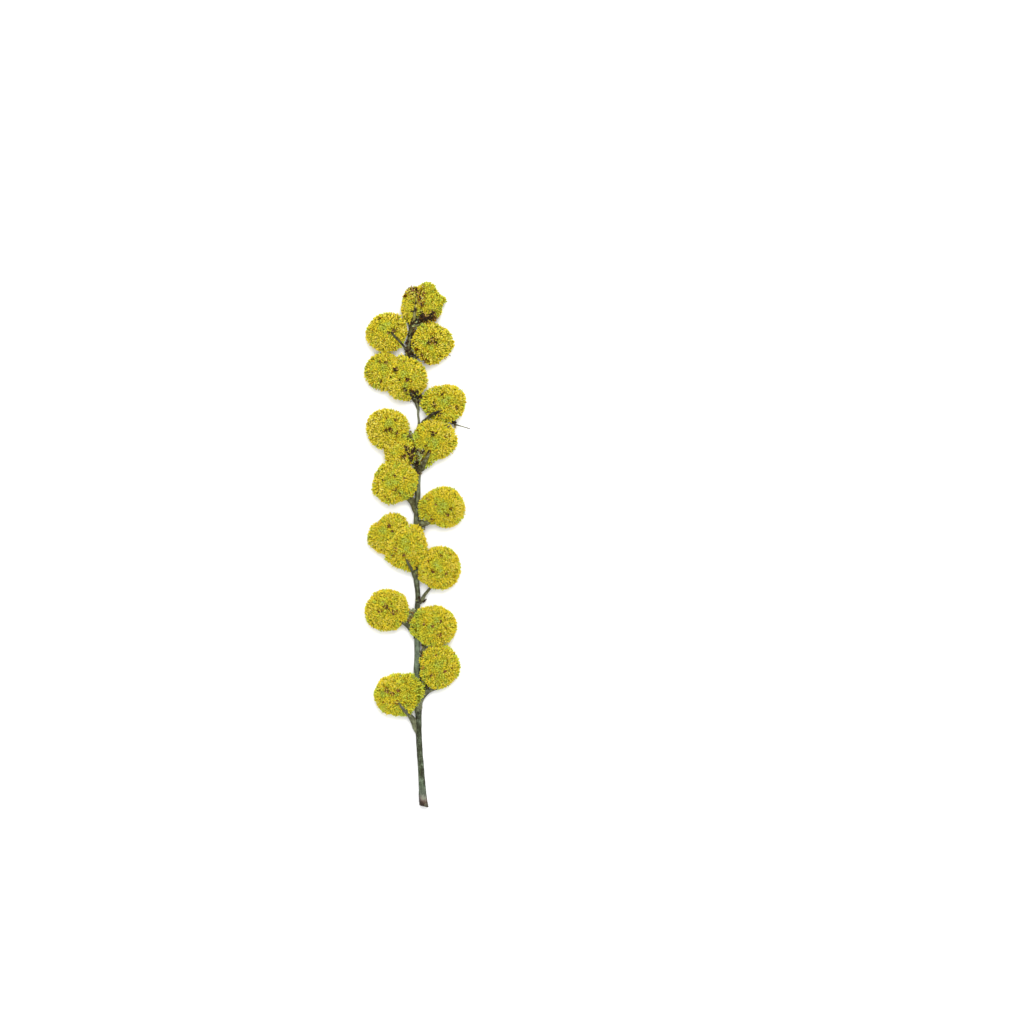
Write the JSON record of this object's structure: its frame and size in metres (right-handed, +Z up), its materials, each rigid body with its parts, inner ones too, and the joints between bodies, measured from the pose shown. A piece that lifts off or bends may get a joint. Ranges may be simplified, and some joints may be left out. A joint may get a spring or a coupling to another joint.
{
  "type": "mimosa sprig",
  "caption": "Pressed and dried mimosa sprig that lies flat: a slender cut stem with short stalks that carry round golden flower heads.",
  "frame": {"origin": "middle of the underside of the whole sprig, on the surface that it lies on", "axes": "+Y along the sprig from the cut end of the stem to its tip, +X across it to the right seen from above, +Z up from the surface"},
  "size_m": [0.0176, 0.0874, 0.0024],
  "materials": {
    "stem": "dry, matt grey-green bark with fine ridges along it, browner towards the tip",
    "stalk": "dry, matt olive brown",
    "flower": "soft mass of golden stamens, greener and brown-specked at the heart",
    "bract": "dark brown dried scale, matt"
  },
  "bodies": {
    "root": {"main_stem": "stem", "flower_stalk_01": "stalk", "flower_stalk_02": "stalk", "flower_stalk_03": "stalk", "flower_stalk_04": "stalk", "flower_stalk_05": "stalk", "flower_stalk_06": "stalk", "flower_stalk_07": "stalk", "flower_stalk_08": "stalk", "flower_stalk_09": "stalk", "flower_stalk_10": "stalk", "flower_stalk_11": "stalk", "flower_stalk_12": "stalk", "flower_stalk_13": "stalk", "flower_stalk_14": "stalk", "flower_stalk_15": "stalk", "flower_stalk_16": "stalk", "flower_stalk_17": "stalk", "flower_stalk_18": "stalk", "flower_stalk_19": "stalk", "flower_head_01": "flower", "flower_head_02": "flower", "flower_head_03": "flower", "flower_head_04": "flower", "flower_head_05": "flower", "flower_head_06": "flower", "flower_head_07": "flower", "flower_head_08": "flower", "flower_head_09": "flower", "flower_head_10": "flower", "flower_head_11": "flower", "flower_head_12": "flower", "flower_head_13": "flower", "flower_head_14": "flower", "flower_head_15": "flower", "flower_head_16": "flower", "flower_head_17": "flower", "flower_head_18": "flower", "flower_head_19": "flower", "bract_01": "bract", "bract_02": "bract", "bract_03": "bract", "bract_04": "bract", "bract_05": "bract", "bract_06": "bract", "bract_07": "bract", "bract_08": "bract", "withered_bud": "bract"}
  },
  "joints": []
}
